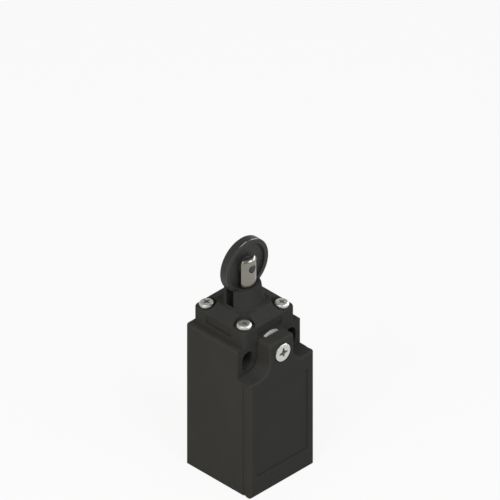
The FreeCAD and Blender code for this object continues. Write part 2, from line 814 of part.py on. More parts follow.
def make_terminal(row, side):
    """Brass terminal: a screw plate on the lid and an arm that reaches the contact."""
    middle = side[1] * terminal_offset
    plate_back = depth_y(block_front)
    plate = box(middle - terminal_width / 2.0, middle + terminal_width / 2.0,
                plate_back - terminal_thickness, plate_back,
                row[2] - terminal_height / 2.0, row[2] + terminal_height / 2.0)
    arm_half = terminal_arm_width / 2.0
    arm = box(middle - arm_half, middle + arm_half, plate_back - terminal_thickness,
              axis_y + bridge_depth / 2.0, row[1], row[1] + terminal_thickness)
    arm = arm.common(box(-chamber_half + hole_gap, chamber_half - hole_gap, front, back, 0, block_top))
    hole = facing_cylinder(terminal_screw_shank + 2 * fit_gap, middle, row[2], front, back)
    return plate.fuse(arm).cut(hole).removeSplitter()


def make_fixed_tips():
    """Silver contact tips on the four arms."""
    tips = []
    for row, side in terminal_places():
        x = side[1] * tip_spacing / 2.0
        if row[3] > 0:
            z_low = row[1] - tip_height
        else:
            z_low = row[1] + terminal_thickness
        tips.append(upright_cylinder(tip_diameter, x, axis_y, z_low, z_low + tip_height))
    return Part.makeCompound(tips)


def make_bridge(height, tips_up):
    """Copper bar with a silver tip at each end, carried by the contact carrier."""
    bar = box(-bridge_length / 2.0, bridge_length / 2.0, axis_y - bridge_depth / 2.0,
              axis_y + bridge_depth / 2.0, height, height + bridge_thickness)
    if tips_up:
        tip_low = height + bridge_thickness
    else:
        tip_low = height - tip_height
    tips = [upright_cylinder(tip_diameter, side * tip_spacing / 2.0, axis_y, tip_low,
                             tip_low + tip_height) for side in (-1, 1)]
    return bar.fuse(tips)


def make_carrier():
    """Moulded carrier with a window for each bridge."""
    carrier = box(-carrier_width / 2.0, carrier_width / 2.0, axis_y - carrier_depth / 2.0,
                  axis_y + carrier_depth / 2.0, carrier_bottom, carrier_top)
    windows = []
    for height in (nc_bridge_height, no_bridge_height):
        windows.append(box(-carrier_width, carrier_width, axis_y - bridge_depth / 2.0,
                           axis_y + bridge_depth / 2.0, height, height + bridge_thickness))
    return carrier.cut(windows)


def make_actuator():
    """Plastic pin that the plunger's stem pushes, with a flange under the block's roof."""
    pin = actuator_diameter / 2.0
    flange = actuator_flange / 2.0
    profile = [(0, actuator_flange_bottom, 0), (flange, actuator_flange_bottom, 0),
               (flange, actuator_flange_top, 0), (pin, actuator_flange_top, 0),
               (pin, actuator_top, actuator_edge_radius), (0, actuator_top, 0)]
    return turned(profile, axis_y)


def make_transfer_spring():
    """Spring between the pin and the contact carrier."""
    return coil_spring(transfer_spring_diameter, small_wire, carrier_top, actuator_flange_bottom,
                       small_spring_turns)


def make_carrier_spring():
    """Spring that lifts the contact carrier."""
    return coil_spring(carrier_spring_diameter, small_wire, chamber_floor, carrier_bottom,
                       small_spring_turns)


def make_terminal_clamps():
    """Square clamp washers under the terminal screws."""
    clamps = []
    y_high = depth_y(block_front) - terminal_thickness - clamp_gap
    half = clamp_size / 2.0
    for row, side in terminal_places():
        middle = side[1] * terminal_offset
        outline = rectangle(middle - half, middle + half, row[2] - half, row[2] + half,
                            clamp_corner_radius)
        clamp = facing_prism(outline, y_high - clamp_thickness, y_high)
        clamps.append(clamp.cut(facing_cylinder(terminal_screw_shank + 2 * fit_gap, middle, row[2],
                                                front, back)))
    return Part.makeCompound(clamps)


def make_terminal_screws():
    """Four pan-head terminal screws."""
    seat = depth_y(block_front) - terminal_thickness - clamp_gap - clamp_thickness
    length = clamp_thickness + clamp_gap + terminal_thickness + lid_thickness - side_gap
    screw = pan_screw(terminal_screw_head, terminal_screw_head_height, terminal_screw_shank, length)
    return Part.makeCompound([facing_screw(side[1] * terminal_offset, row[2], seat, screw)
                              for row, side in terminal_places()])


def make_block_screws():
    """Two screws through the block into the bosses on the back wall."""
    length = block_back - block_front + (cavity_back + boss_bite - depth_y(block_back)) - side_gap
    screw = pan_screw(block_screw_head, block_screw_head_height, block_screw_shank, length)
    return Part.makeCompound([facing_screw(side * block_screw_spacing / 2.0, block_screw_height,
                                           depth_y(block_front), screw) for side in (-1, 1)])


parts = {
    "housing": make_housing(),
    "front_cover": make_front_cover(),
    "cover_gasket": make_cover_gasket(),
    "cover_screw": make_cover_screw(),
    "cover_screw_keeper": make_cover_screw_keeper(),
    "head": make_head(),
    "head_screws": make_head_screws(),
    "head_gasket": make_head_gasket(),
    "rod_seal": make_rod_seal(),
    "guide_bush": make_guide_bush(),
    "spring_retainer": make_spring_retainer(),
    "return_spring": make_return_spring(),
    "plunger": make_plunger(),
    "roller_axle": make_roller_axle(),
    "roller": make_roller(),
    "contact_block_base": make_block_base(),
    "contact_block_lid": make_block_lid(),
    "fixed_contact_tips": make_fixed_tips(),
    "nc_contact_bridge": make_bridge(nc_bridge_height, True),
    "no_contact_bridge": make_bridge(no_bridge_height, False),
    "contact_carrier": make_carrier(),
    "actuator_pin": make_actuator(),
    "transfer_spring": make_transfer_spring(),
    "carrier_spring": make_carrier_spring(),
    "terminal_clamps": make_terminal_clamps(),
    "terminal_screws": make_terminal_screws(),
    "block_screws": make_block_screws(),
}
for terminal_row, terminal_side in terminal_places():
    node = terminal_row[0] + "_terminal_" + terminal_side[0]
    parts[node] = make_terminal(terminal_row, terminal_side)

os.makedirs("parts", exist_ok=True)
for name, shape in parts.items():
    shape.exportStep("parts/" + name + ".step")
    print(name, shape.isValid(), len(shape.Solids), round(shape.Volume, 2))
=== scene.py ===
import json
import math

import bmesh
import bpy
from mathutils import Matrix, Vector


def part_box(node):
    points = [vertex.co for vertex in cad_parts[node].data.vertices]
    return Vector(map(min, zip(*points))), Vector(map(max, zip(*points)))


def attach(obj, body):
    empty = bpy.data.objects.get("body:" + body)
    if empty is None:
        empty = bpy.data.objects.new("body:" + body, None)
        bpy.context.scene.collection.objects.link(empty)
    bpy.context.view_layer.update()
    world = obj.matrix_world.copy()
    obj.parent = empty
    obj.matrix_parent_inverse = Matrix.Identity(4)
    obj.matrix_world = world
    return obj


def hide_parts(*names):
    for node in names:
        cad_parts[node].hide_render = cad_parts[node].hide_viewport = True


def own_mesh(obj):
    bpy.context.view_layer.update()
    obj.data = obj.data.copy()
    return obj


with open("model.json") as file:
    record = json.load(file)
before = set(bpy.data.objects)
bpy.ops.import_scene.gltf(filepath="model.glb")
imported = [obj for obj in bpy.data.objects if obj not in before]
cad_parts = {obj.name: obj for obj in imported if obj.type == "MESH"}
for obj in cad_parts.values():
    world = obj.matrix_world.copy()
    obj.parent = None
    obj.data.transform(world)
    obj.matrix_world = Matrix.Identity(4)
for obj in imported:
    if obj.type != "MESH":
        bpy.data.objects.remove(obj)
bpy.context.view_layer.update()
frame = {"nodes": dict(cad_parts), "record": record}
nodes = frame["nodes"]


# Studio
# The picture is a true isometric view without perspective, from above the near left corner.
# One millimetre is 2.99 pixels, and the near bottom corner of the cover sets the framing.

picture_pixels = 500
pixels_per_metre = 2990.0
corner_pixel = Vector((250.72, 500.18))
camera_distance = 0.6

near_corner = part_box("front_cover")[0]
view_direction = Vector((1, 1, -1)).normalized()
view_right = Vector((1, -1, 0)).normalized()
view_up = view_right.cross(view_direction)
middle = picture_pixels / 2
view_centre = (near_corner + view_right * (middle - corner_pixel.x) / pixels_per_metre
               + view_up * (corner_pixel.y - middle) / pixels_per_metre)


def aim(item, place, target):
    """Puts a camera or lamp at a place and turns it to face the target."""
    item.location = place
    item.rotation_euler = (target - place).to_track_quat("-Z", "Y").to_euler()


def add_object(name, data):
    """Adds an object with this data to the scene."""
    made = bpy.data.objects.new(name, data)
    bpy.context.scene.collection.objects.link(made)
    return made


camera_data = bpy.data.cameras.new("camera")
camera_data.type = "ORTHO"
camera_data.ortho_scale = picture_pixels / pixels_per_metre
camera_data.clip_start = 0.01
camera_data.clip_end = 5.0
camera = add_object("camera", camera_data)
camera.matrix_world = Matrix((
    (view_right.x, view_up.x, -view_direction.x, view_centre.x - view_direction.x * camera_distance),
    (view_right.y, view_up.y, -view_direction.y, view_centre.y - view_direction.y * camera_distance),
    (view_right.z, view_up.z, -view_direction.z, view_centre.z - view_direction.z * camera_distance),
    (0, 0, 0, 1)))
bpy.context.scene.camera = camera
bpy.context.scene.view_settings.view_transform = "Standard"

lamp_distance = 0.80
lamp_target = Vector((0, 0, 0.045))


def softbox(name, direction, size, brightness, colour, glint):
    """Square lamp that faces the object; a glint is seen only in reflections, as a highlight."""
    data = bpy.data.lights.new(name, "AREA")
    data.size = size
    data.energy = brightness * math.pi * size * size
    data.color = colour
    lamp = add_object(name, data)
    lamp.visible_diffuse = not glint
    lamp.visible_glossy = glint
    aim(lamp, lamp_target + Vector(direction).normalized() * lamp_distance, lamp_target)


softbox("left_light", (-0.85, -0.15, 0.50), 0.42, 8.4, (1.0, 0.96, 0.84), False)
softbox("front_light", (-0.05, -0.65, 0.76), 0.42, 6.4, (0.97, 1.0, 1.05), False)
softbox("left_glint", (-0.66, -0.10, 0.75), 0.40, 3.9, (1.0, 0.99, 0.95), True)
softbox("front_glint", (0.35, -0.68, 0.64), 0.34, 8.0, (1.0, 1.0, 1.0), True)
softbox("right_glint", (0.85, -0.39, 0.34), 0.30, 8.0, (1.0, 1.0, 1.0), True)
softbox("far_right_glint", (0.95, 0.05, 0.36), 0.26, 6.5, (1.0, 1.0, 1.0), True)

# The room lights the object softly; the camera and every reflection see it white near the
# floor, and a reflection sees its ceiling in pale grey.
room_light = 0.36
ceiling_grey = 0.42
ceiling_from = 0.45
world = bpy.data.worlds.new("studio")
bpy.context.scene.world = world
world.use_nodes = True
world_nodes = world.node_tree.nodes
world_links = world.node_tree.links
background = world_nodes["Background"]
light_path = world_nodes.new("ShaderNodeLightPath")
room_direction = world_nodes.new("ShaderNodeTexCoord")
room_height = world_nodes.new("ShaderNodeSeparateXYZ")
world_links.new(room_direction.outputs["Generated"], room_height.inputs[0])
reflected_room = world_nodes.new("ShaderNodeMapRange")
reflected_room.inputs["From Min"].default_value = 0.0
reflected_room.inputs["From Max"].default_value = ceiling_from
reflected_room.inputs["To Min"].default_value = 1.0
reflected_room.inputs["To Max"].default_value = ceiling_grey
world_links.new(room_height.outputs["Z"], reflected_room.inputs["Value"])
seen_in_gloss = world_nodes.new("ShaderNodeMath")
seen_in_gloss.operation = "MAXIMUM"
world_links.new(light_path.outputs["Is Glossy Ray"], seen_in_gloss.inputs[0])
world_links.new(light_path.outputs["Is Transmission Ray"], seen_in_gloss.inputs[1])
reflection_mix = world_nodes.new("ShaderNodeMix")
reflection_mix.inputs["A"].default_value = room_light
world_links.new(seen_in_gloss.outputs[0], reflection_mix.inputs["Factor"])
world_links.new(reflected_room.outputs[0], reflection_mix.inputs["B"])
camera_mix = world_nodes.new("ShaderNodeMix")
camera_mix.inputs["B"].default_value = 1.0
world_links.new(light_path.outputs["Is Camera Ray"], camera_mix.inputs["Factor"])
world_links.new(reflection_mix.outputs[0], camera_mix.inputs["A"])
world_links.new(camera_mix.outputs[0], background.inputs["Strength"])
background.inputs["Color"].default_value = (1, 1, 1, 1)

floor_mesh = bpy.data.meshes.new("studio_floor")
floor_half = 1.5
floor_whiteness = 0.90
floor_mesh.from_pydata([(-floor_half, -floor_half, 0), (floor_half, -floor_half, 0),
                        (floor_half, floor_half, 0), (-floor_half, floor_half, 0)], [], [(0, 1, 2, 3)])
floor = add_object("studio_floor", floor_mesh)
floor_material = bpy.data.materials.new("studio_floor")
floor_material.use_nodes = True
floor_nodes = floor_material.node_tree.nodes
floor_links = floor_material.node_tree.links
floor_nodes.remove(floor_nodes["Principled BSDF"])
floor_diffuse = floor_nodes.new("ShaderNodeBsdfDiffuse")
floor_diffuse.inputs["Color"].default_value = (0.60, 0.60, 0.60, 1)
floor_glow = floor_nodes.new("ShaderNodeEmission")
floor_path = floor_nodes.new("ShaderNodeLightPath")
floor_seen = floor_nodes.new("ShaderNodeMath")
floor_seen.operation = "MAXIMUM"
floor_share = floor_nodes.new("ShaderNodeMath")
floor_share.operation = "MULTIPLY"
floor_share.inputs[1].default_value = floor_whiteness
floor_mix = floor_nodes.new("ShaderNodeMixShader")
floor_links.new(floor_path.outputs["Is Camera Ray"], floor_seen.inputs[0])
floor_links.new(floor_path.outputs["Is Glossy Ray"], floor_seen.inputs[1])
floor_links.new(floor_seen.outputs[0], floor_share.inputs[0])
floor_links.new(floor_share.outputs[0], floor_mix.inputs["Fac"])
floor_links.new(floor_diffuse.outputs[0], floor_mix.inputs[1])
floor_links.new(floor_glow.outputs[0], floor_mix.inputs[2])
floor_links.new(floor_mix.outputs[0], floor_nodes["Material Output"].inputs["Surface"])
floor_mesh.materials.append(floor_material)


# Housing
# A single moulding in glass-filled polyamide, black with a warm grey cast.
# Its tool was spark-eroded, which leaves a very fine even grain on every outer face.


def socket(group, name, kind, direction, value=None):
    """Adds one named input or output to a node group."""
    made = group.interface.new_socket(name=name, in_out=direction, socket_type=kind)
    if value is not None:
        made.default_value = value
    return made


def moulded_grain_group():
    """Fine even grain of a spark-eroded mould with faint flow clouds in the colour."""
    group = bpy.data.node_groups.new("moulded_grain", "ShaderNodeTree")
    socket(group, "Colour", "NodeSocketColor", "INPUT", (0.02, 0.02, 0.02, 1))
    socket(group, "Grain Size", "NodeSocketFloat", "INPUT", 4000.0)
    socket(group, "Grain Depth", "NodeSocketFloat", "INPUT", 0.25)
    socket(group, "Roughness", "NodeSocketFloat", "INPUT", 0.55)
    socket(group, "Colour", "NodeSocketColor", "OUTPUT")
    socket(group, "Roughness", "NodeSocketFloat", "OUTPUT")
    socket(group, "Normal", "NodeSocketVector", "OUTPUT")
    inside = group.nodes
    link = group.links.new
    given = inside.new("NodeGroupInput")
    result = inside.new("NodeGroupOutput")
    place = inside.new("ShaderNodeTexCoord")
    clouds = inside.new("ShaderNodeTexNoise")
    clouds.inputs["Scale"].default_value = 90.0
    clouds.inputs["Detail"].default_value = 3.0
    link(place.outputs["Object"], clouds.inputs["Vector"])
    tint = inside.new("ShaderNodeMapRange")
    tint.inputs["To Min"].default_value = 0.90
    tint.inputs["To Max"].default_value = 1.10
    link(clouds.outputs["Fac"], tint.inputs["Value"])
    shade = inside.new("ShaderNodeVectorMath")
    shade.operation = "SCALE"
    link(given.outputs["Colour"], shade.inputs[0])
    link(tint.outputs["Result"], shade.inputs["Scale"])
    link(shade.outputs[0], result.inputs["Colour"])
    grain = inside.new("ShaderNodeTexNoise")
    grain.inputs["Detail"].default_value = 2.0
    link(place.outputs["Object"], grain.inputs["Vector"])
    link(given.outputs["Grain Size"], grain.inputs["Scale"])
    spread = inside.new("ShaderNodeMapRange")
    spread.inputs["To Min"].default_value = -0.06
    spread.inputs["To Max"].default_value = 0.06
    link(grain.outputs["Fac"], spread.inputs["Value"])
    rough = inside.new("ShaderNodeMath")
    rough.operation = "ADD"
    link(given.outputs["Roughness"], rough.inputs[0])
    link(spread.outputs["Result"], rough.inputs[1])
    link(rough.outputs[0], result.inputs["Roughness"])
    bump = inside.new("ShaderNodeBump")
    bump.inputs["Distance"].default_value = 0.00003
    link(given.outputs["Grain Depth"], bump.inputs["Strength"])
    link(grain.outputs["Fac"], bump.inputs["Height"])
    link(bump.outputs["Normal"], result.inputs["Normal"])
    return group


moulded_grain = moulded_grain_group()


def moulded_plastic(name, colour, roughness, grain_size, grain_depth, gloss):
    """Matte moulded plastic with the shared grain."""
    material = bpy.data.materials.new(name)
    material.use_nodes = True
    shader = material.node_tree.nodes["Principled BSDF"]
    shader.inputs["Specular IOR Level"].default_value = gloss
    grain = material.node_tree.nodes.new("ShaderNodeGroup")
    grain.node_tree = moulded_grain
    grain.inputs["Colour"].default_value = (*colour, 1)
    grain.inputs["Grain Size"].default_value = grain_size
    grain.inputs["Grain Depth"].default_value = grain_depth
    grain.inputs["Roughness"].default_value = roughness
    link = material.node_tree.links.new
    link(grain.outputs["Colour"], shader.inputs["Base Color"])
    link(grain.outputs["Roughness"], shader.inputs["Roughness"])
    link(grain.outputs["Normal"], shader.inputs["Normal"])
    return material


def dress(node, material):
    """Gives a CAD node one material."""
    mesh = nodes[node].data
    mesh.materials.clear()
    mesh.materials.append(material)


housing_black = moulded_plastic("housing_black", (0.0320, 0.0316, 0.0296), 0.75, 5200.0, 0.35, 0.05)
dress("housing", housing_black)


# Front cover
# Moulded in the same plastic as the housing, from its own tool, with a bare sunken panel.
# Its tongue takes the one screw.

cover_black = moulded_plastic("cover_black", (0.0315, 0.0313, 0.0302), 0.75, 5200.0, 0.35, 0.05)
dress("front_cover", cover_black)


# Head
# Moulded block with four screw corners and the slotted collar that guides the plunger.

head_black = moulded_plastic("head_black", (0.0295, 0.0293, 0.0282), 0.75, 5200.0, 0.30, 0.05)
dress("head", head_black)


# Rubber rings
# Pressed nitrile: the cover's rim gasket, the ring under the head and the plunger's wiper.

gasket_black = moulded_plastic("gasket_black", (0.012, 0.012, 0.012), 0.70, 2600.0, 0.2, 0.3)
for ring in ("cover_gasket", "head_gasket", "rod_seal"):
    dress(ring, gasket_black)


# Screws
# Cold-headed steel with a soft zinc-nickel plate: four pan heads hold the head down, and a
# flat cheese head holds the cover. Each has a tapered cross recess, whose walls and floor carry
# painted shade that halves their colour, and a thread, whose turns stand as plain rings.


def turned_metal_group():
    """Fine tool marks as rings about the Z axis, or a fine even polish where they are shallow."""
    group = bpy.data.node_groups.new("turned_metal", "ShaderNodeTree")
    socket(group, "Colour", "NodeSocketColor", "INPUT", (0.5, 0.5, 0.5, 1))
    socket(group, "Mark Size", "NodeSocketFloat", "INPUT", 3000.0)
    socket(group, "Mark Depth", "NodeSocketFloat", "INPUT", 0.2)
    socket(group, "Roughness", "NodeSocketFloat", "INPUT", 0.3)
    socket(group, "Colour", "NodeSocketColor", "OUTPUT")
    socket(group, "Roughness", "NodeSocketFloat", "OUTPUT")
    socket(group, "Normal", "NodeSocketVector", "OUTPUT")
    inside = group.nodes
    link = group.links.new
    given = inside.new("NodeGroupInput")
    result = inside.new("NodeGroupOutput")
    place = inside.new("ShaderNodeTexCoord")
    stretch = inside.new("ShaderNodeMapping")
    stretch.inputs["Scale"].default_value = (0.05, 0.05, 1.0)
    link(place.outputs["Object"], stretch.inputs["Vector"])
    marks = inside.new("ShaderNodeTexNoise")
    marks.inputs["Detail"].default_value = 2.0
    link(stretch.outputs[0], marks.inputs["Vector"])
    link(given.outputs["Mark Size"], marks.inputs["Scale"])
    stains = inside.new("ShaderNodeTexNoise")
    stains.inputs["Scale"].default_value = 500.0
    stains.inputs["Detail"].default_value = 3.0
    link(place.outputs["Object"], stains.inputs["Vector"])
    tint = inside.new("ShaderNodeMapRange")
    tint.inputs["To Min"].default_value = 0.88
    tint.inputs["To Max"].default_value = 1.08
    link(stains.outputs["Fac"], tint.inputs["Value"])
    shade = inside.new("ShaderNodeVectorMath")
    shade.operation = "SCALE"
    link(given.outputs["Colour"], shade.inputs[0])
    link(tint.outputs["Result"], shade.inputs["Scale"])
    link(shade.outputs[0], result.inputs["Colour"])
    spread = inside.new("ShaderNodeMapRange")
    spread.inputs["To Min"].default_value = -0.08
    spread.inputs["To Max"].default_value = 0.08
    link(marks.outputs["Fac"], spread.inputs["Value"])
    rough = inside.new("ShaderNodeMath")
    rough.operation = "ADD"
    link(given.outputs["Roughness"], rough.inputs[0])
    link(spread.outputs["Result"], rough.inputs[1])
    link(rough.outputs[0], result.inputs["Roughness"])
    bump = inside.new("ShaderNodeBump")
    bump.inputs["Distance"].default_value = 0.00001
    link(given.outputs["Mark Depth"], bump.inputs["Strength"])
    link(marks.outputs["Fac"], bump.inputs["Height"])
    link(bump.outputs["Normal"], result.inputs["Normal"])
    return group


turned_metal = turned_metal_group()


def metal(name, colour, roughness, mark_size, mark_depth):
    """Bare or plated metal with the shared tool marks."""
    material = bpy.data.materials.new(name)
    material.use_nodes = True
    shader = material.node_tree.nodes["Principled BSDF"]
    shader.inputs["Metallic"].default_value = 1.0
    marks = material.node_tree.nodes.new("ShaderNodeGroup")
    marks.node_tree = turned_metal
    marks.inputs["Colour"].default_value = (*colour, 1)
    marks.inputs["Mark Size"].default_value = mark_size
    marks.inputs["Mark Depth"].default_value = mark_depth
    marks.inputs["Roughness"].default_value = roughness
    link = material.node_tree.links.new
    link(marks.outputs["Colour"], shader.inputs["Base Color"])
    link(marks.outputs["Roughness"], shader.inputs["Roughness"])
    link(marks.outputs["Normal"], shader.inputs["Normal"])
    return material


screw_nickel = metal("screw_nickel", (0.60, 0.60, 0.57), 0.47, 2500.0, 0.15)
millimetre = 0.001


def darken(material, mask_name, kept_share):
    """Darkens a material's colour to a share of itself where the piece's own mask is 1."""
    tree = material.node_tree
    shader_colour = tree.nodes["Principled BSDF"].inputs["Base Color"]
    mask = tree.nodes.new("ShaderNodeAttribute")
    mask.attribute_name = mask_name
    share = tree.nodes.new("ShaderNodeMapRange")
    share.inputs["To Min"].default_value = 1.0
    share.inputs["To Max"].default_value = kept_share
    tree.links.new(mask.outputs["Fac"], share.inputs["Value"])
    shade = tree.nodes.new("ShaderNodeVectorMath")
    shade.operation = "SCALE"
    tree.links.new(shader_colour.links[0].from_socket, shade.inputs[0])
    tree.links.new(share.outputs["Result"], shade.inputs["Scale"])
    tree.links.new(shade.outputs[0], shader_colour)


# Painted shade: the colour of every recess face is halved.
darken(screw_nickel, "soiled", 0.50)


def lathed(mesh, profile, start, segments):
    """Turns a profile of (radius, height) points about Z; the rings are joined in order."""
    rings = []
    for radius, height in profile:
        ring = []
        for k in range(segments):
            angle = start + 2 * math.pi * k / segments
            ring.append(mesh.verts.new((radius * math.cos(angle), radius * math.sin(angle), height)))
        rings.append(ring)
    for lower, upper in zip(rings, rings[1:]):
        for k in range(segments):
            after = (k + 1) % segments
            mesh.faces.new((lower[k], lower[after], upper[after], upper[k])).smooth = True
    return rings


def finish_mesh(mesh, name):
    """Writes a mesh in millimetres as new mesh data in metres, with its faces turned outwards."""
    bmesh.ops.recalc_face_normals(mesh, faces=mesh.faces)
    bmesh.ops.scale(mesh, vec=(millimetre, millimetre, millimetre), verts=mesh.verts)
    data = bpy.data.meshes.new(name)
    mesh.to_mesh(data)
    mesh.free()
    return data


def cross_outline(reach, tip_half, waist, height):
    """Twelve corners of a cross whose arms narrow towards their tips."""
    corners = []
    for quarter in range(4):
        turn = Matrix.Rotation(quarter * math.pi / 2, 3, "Z")
        for corner in ((reach, -tip_half), (reach, tip_half), (waist, waist)):
            corners.append(turn @ Vector((*corner, height)))
    return corners


def screw_mesh(name, head_radius, head_height, edge_radius, flat_share, recess, shank_radius, shank_length):
    """Screw in millimetres, seated on Z = 0: thread below, rounded head with its recess above.

    The recess is given as its reach, half the width of an arm's tip, waist, depth and taper.
    """
    segments = 72
    edge_steps = 8
    foot_setback = 0.2
    foot_height = 0.25
    thread_pitch = 0.7
    thread_depth = 0.22
    mesh = bmesh.new()
    soiled = mesh.faces.layers.float.new("soiled")
    profile = [(shank_radius - thread_depth, -shank_length)]
    crest = -shank_length + thread_pitch / 2
    while crest < -thread_pitch:
        profile.append((shank_radius, crest))
        profile.append((shank_radius - thread_depth, crest + thread_pitch / 2))
        crest += thread_pitch
    profile.append((shank_radius - thread_depth, 0))
    profile.append((head_radius - foot_setback, 0))
    dome_radius = flat_share * head_radius
    edge_height = head_height - edge_radius
    profile.append((head_radius, foot_height))
    for step in range(edge_steps + 1):
        turn = step / edge_steps * math.pi / 2
        profile.append((dome_radius + (head_radius - dome_radius) * math.cos(turn),
                        edge_height + edge_radius * math.sin(turn)))
    rings = lathed(mesh, profile, math.pi / segments, segments)
    mesh.faces.new(list(reversed(rings[0])))
    reach, tip_half, waist, depth, taper = recess
    mouth = [mesh.verts.new(v) for v in cross_outline(reach, tip_half, waist, head_height)]
    foot = [mesh.verts.new(v) for v in cross_outline(reach * taper, tip_half * taper, waist * taper,
                                                     head_height - depth)]
    count = len(mouth)
    edges = [mesh.edges.new((mouth[k], mouth[(k + 1) % count])) for k in range(count)]
    last = rings[-1]
    edges += [mesh.edges.get((last[k], last[(k + 1) % segments])) for k in range(segments)]
    bmesh.ops.triangle_fill(mesh, use_beauty=True, use_dissolve=False, edges=edges)
    # The recess walls and floor are masked for painted shade.
    for k in range(count):
        after = (k + 1) % count
        mesh.faces.new((mouth[k], foot[k], foot[after], mouth[after]))[soiled] = 1.0
    mesh.faces.new(foot)[soiled] = 1.0
    return finish_mesh(mesh, name)


def screws_at_corners():
    """Sets one screw at each corner of a rectangle and gives them all one material."""
    group = bpy.data.node_groups.new("screws_at_corners", "GeometryNodeTree")
    socket(group, "Geometry", "NodeSocketGeometry", "INPUT")
    socket(group, "Screw", "NodeSocketObject", "INPUT")
    socket(group, "Across", "NodeSocketFloat", "INPUT", 0.018)
    socket(group, "Along", "NodeSocketFloat", "INPUT", 0.018)
    socket(group, "Centre", "NodeSocketVector", "INPUT")
    socket(group, "Finish", "NodeSocketMaterial", "INPUT")
    socket(group, "Geometry", "NodeSocketGeometry", "OUTPUT")
    inside = group.nodes
    link = group.links.new
    given = inside.new("NodeGroupInput")
    result = inside.new("NodeGroupOutput")
    corners = inside.new("GeometryNodeMeshGrid")
    corners.inputs["Vertices X"].default_value = 2
    corners.inputs["Vertices Y"].default_value = 2
    link(given.outputs["Across"], corners.inputs["Size X"])
    link(given.outputs["Along"], corners.inputs["Size Y"])
    placed = inside.new("GeometryNodeTransform")
    link(corners.outputs["Mesh"], placed.inputs["Geometry"])
    link(given.outputs["Centre"], placed.inputs["Translation"])
    one = inside.new("GeometryNodeObjectInfo")
    link(given.outputs["Screw"], one.inputs["Object"])
    each = inside.new("GeometryNodeInstanceOnPoints")
    link(placed.outputs["Geometry"], each.inputs["Points"])
    link(one.outputs["Geometry"], each.inputs["Instance"])
    real = inside.new("GeometryNodeRealizeInstances")
    link(each.outputs["Instances"], real.inputs["Geometry"])
    finish = inside.new("GeometryNodeSetMaterial")
    link(real.outputs["Geometry"], finish.inputs["Geometry"])
    link(given.outputs["Finish"], finish.inputs["Material"])
    link(finish.outputs["Geometry"], result.inputs["Geometry"])
    return group


def plain_copy(name, source):
    """The evaluated object as a new object with a plain mesh and no modifier."""
    bpy.context.view_layer.update()
    evaluated = source.evaluated_get(bpy.context.evaluated_depsgraph_get())
    return add_object(name, bpy.data.meshes.new_from_object(evaluated))


# Four pan heads, 5.15 mm across, with a grey flat top and a bright rounded rim
head_screws_low, head_screws_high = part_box("head_screws")
pan_radius = 2.575
pan_height = 1.6
pan_edge = 0.95
pan_flat_share = 0.66
pan_shank_radius = 1.45
pan_recess = (1.48, 0.20, 0.36, 0.62, 0.45)
pan_top = head_screws_high.z / millimetre
shank_below = pan_top - pan_height - head_screws_low.z / millimetre
pan_mesh = screw_mesh("pan_pattern", pan_radius, pan_height, pan_edge, pan_flat_share, pan_recess,
                      pan_shank_radius, shank_below)
pan_pattern = add_object("pan_pattern", pan_mesh)
corner_tree = screws_at_corners()
corner_holder = add_object("corner_holder", bpy.data.meshes.new("corner_holder"))
corner_modifier = corner_holder.modifiers.new("screws", "NODES")
corner_modifier.node_group = corner_tree
corner_values = {
    "Screw": pan_pattern,
    "Across": head_screws_high.x - head_screws_low.x - 2 * pan_radius * millimetre,
    "Along": head_screws_high.y - head_screws_low.y - 2 * pan_radius * millimetre,
    "Centre": (0, (head_screws_low.y + head_screws_high.y) / 2, (pan_top - pan_height) * millimetre),
    "Finish": screw_nickel,
}
for item in corner_tree.interface.items_tree:
    if item.in_out == "INPUT" and item.name in corner_values:
        corner_modifier[item.identifier] = corner_values[item.name]
head_screw_set = plain_copy("head_screw_set", corner_holder)
bpy.data.objects.remove(corner_holder)
bpy.data.objects.remove(pan_pattern)
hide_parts("head_screws")
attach(head_screw_set, "switch_body")

# One flat cheese head in the tongue, turned to face the front
cover_screw_low, cover_screw_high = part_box("cover_screw")
cheese_radius = (cover_screw_high.z - cover_screw_low.z) / 2 / millimetre
cheese_height = 2.0
cheese_edge = 0.35
cheese_flat_share = 0.90
cheese_shank_radius = 1.95
cheese_recess = (1.95, 0.30, 0.62, 1.3, 0.42)
cheese_shank = (cover_screw_high.y - cover_screw_low.y) / millimetre - cheese_height
cheese_mesh = screw_mesh("cover_screw_plated", cheese_radius, cheese_height, cheese_edge,
                         cheese_flat_share, cheese_recess, cheese_shank_radius, cheese_shank)
cheese_mesh.transform(Matrix.Translation((0, cover_screw_low.y + cheese_height * millimetre,
                                          (cover_screw_low.z + cover_screw_high.z) / 2))
                      @ Matrix.Rotation(math.pi / 2, 4, "X"))
cheese_mesh.materials.append(screw_nickel)
cover_screw_plated = add_object("cover_screw_plated", cheese_mesh)
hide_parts("cover_screw")
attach(cover_screw_plated, "switch_body")

keeper_grey = moulded_plastic("keeper_grey", (0.40, 0.40, 0.38), 0.45, 2600.0, 0.15, 0.5)
dress("cover_screw_keeper", keeper_grey)


# Plunger and axle
# Stainless steel, turned and then milled for the fork; the marks of the turning tool remain.
# The axle is a pin pressed through both ears of the fork, coloured near-black as painted shade.

plunger_steel = metal("plunger_steel", (0.250, 0.240, 0.212), 0.26, 6000.0, 0.5)
dress("plunger", plunger_steel)
# Painted shade: the pin's near-black colour stands for the shade of a pin end sunk in its hole, which the
# model has flush.
axle_blackened = metal("axle_blackened", (0.060, 0.058, 0.053), 0.40, 3000.0, 0.3)
dress("roller_axle", axle_blackened)


# Roller
# Moulded in satin black plastic, with a raised rim, a thin web and a hub that fills the fork.
# What it runs against has burnished the narrow chamfers of its rim.

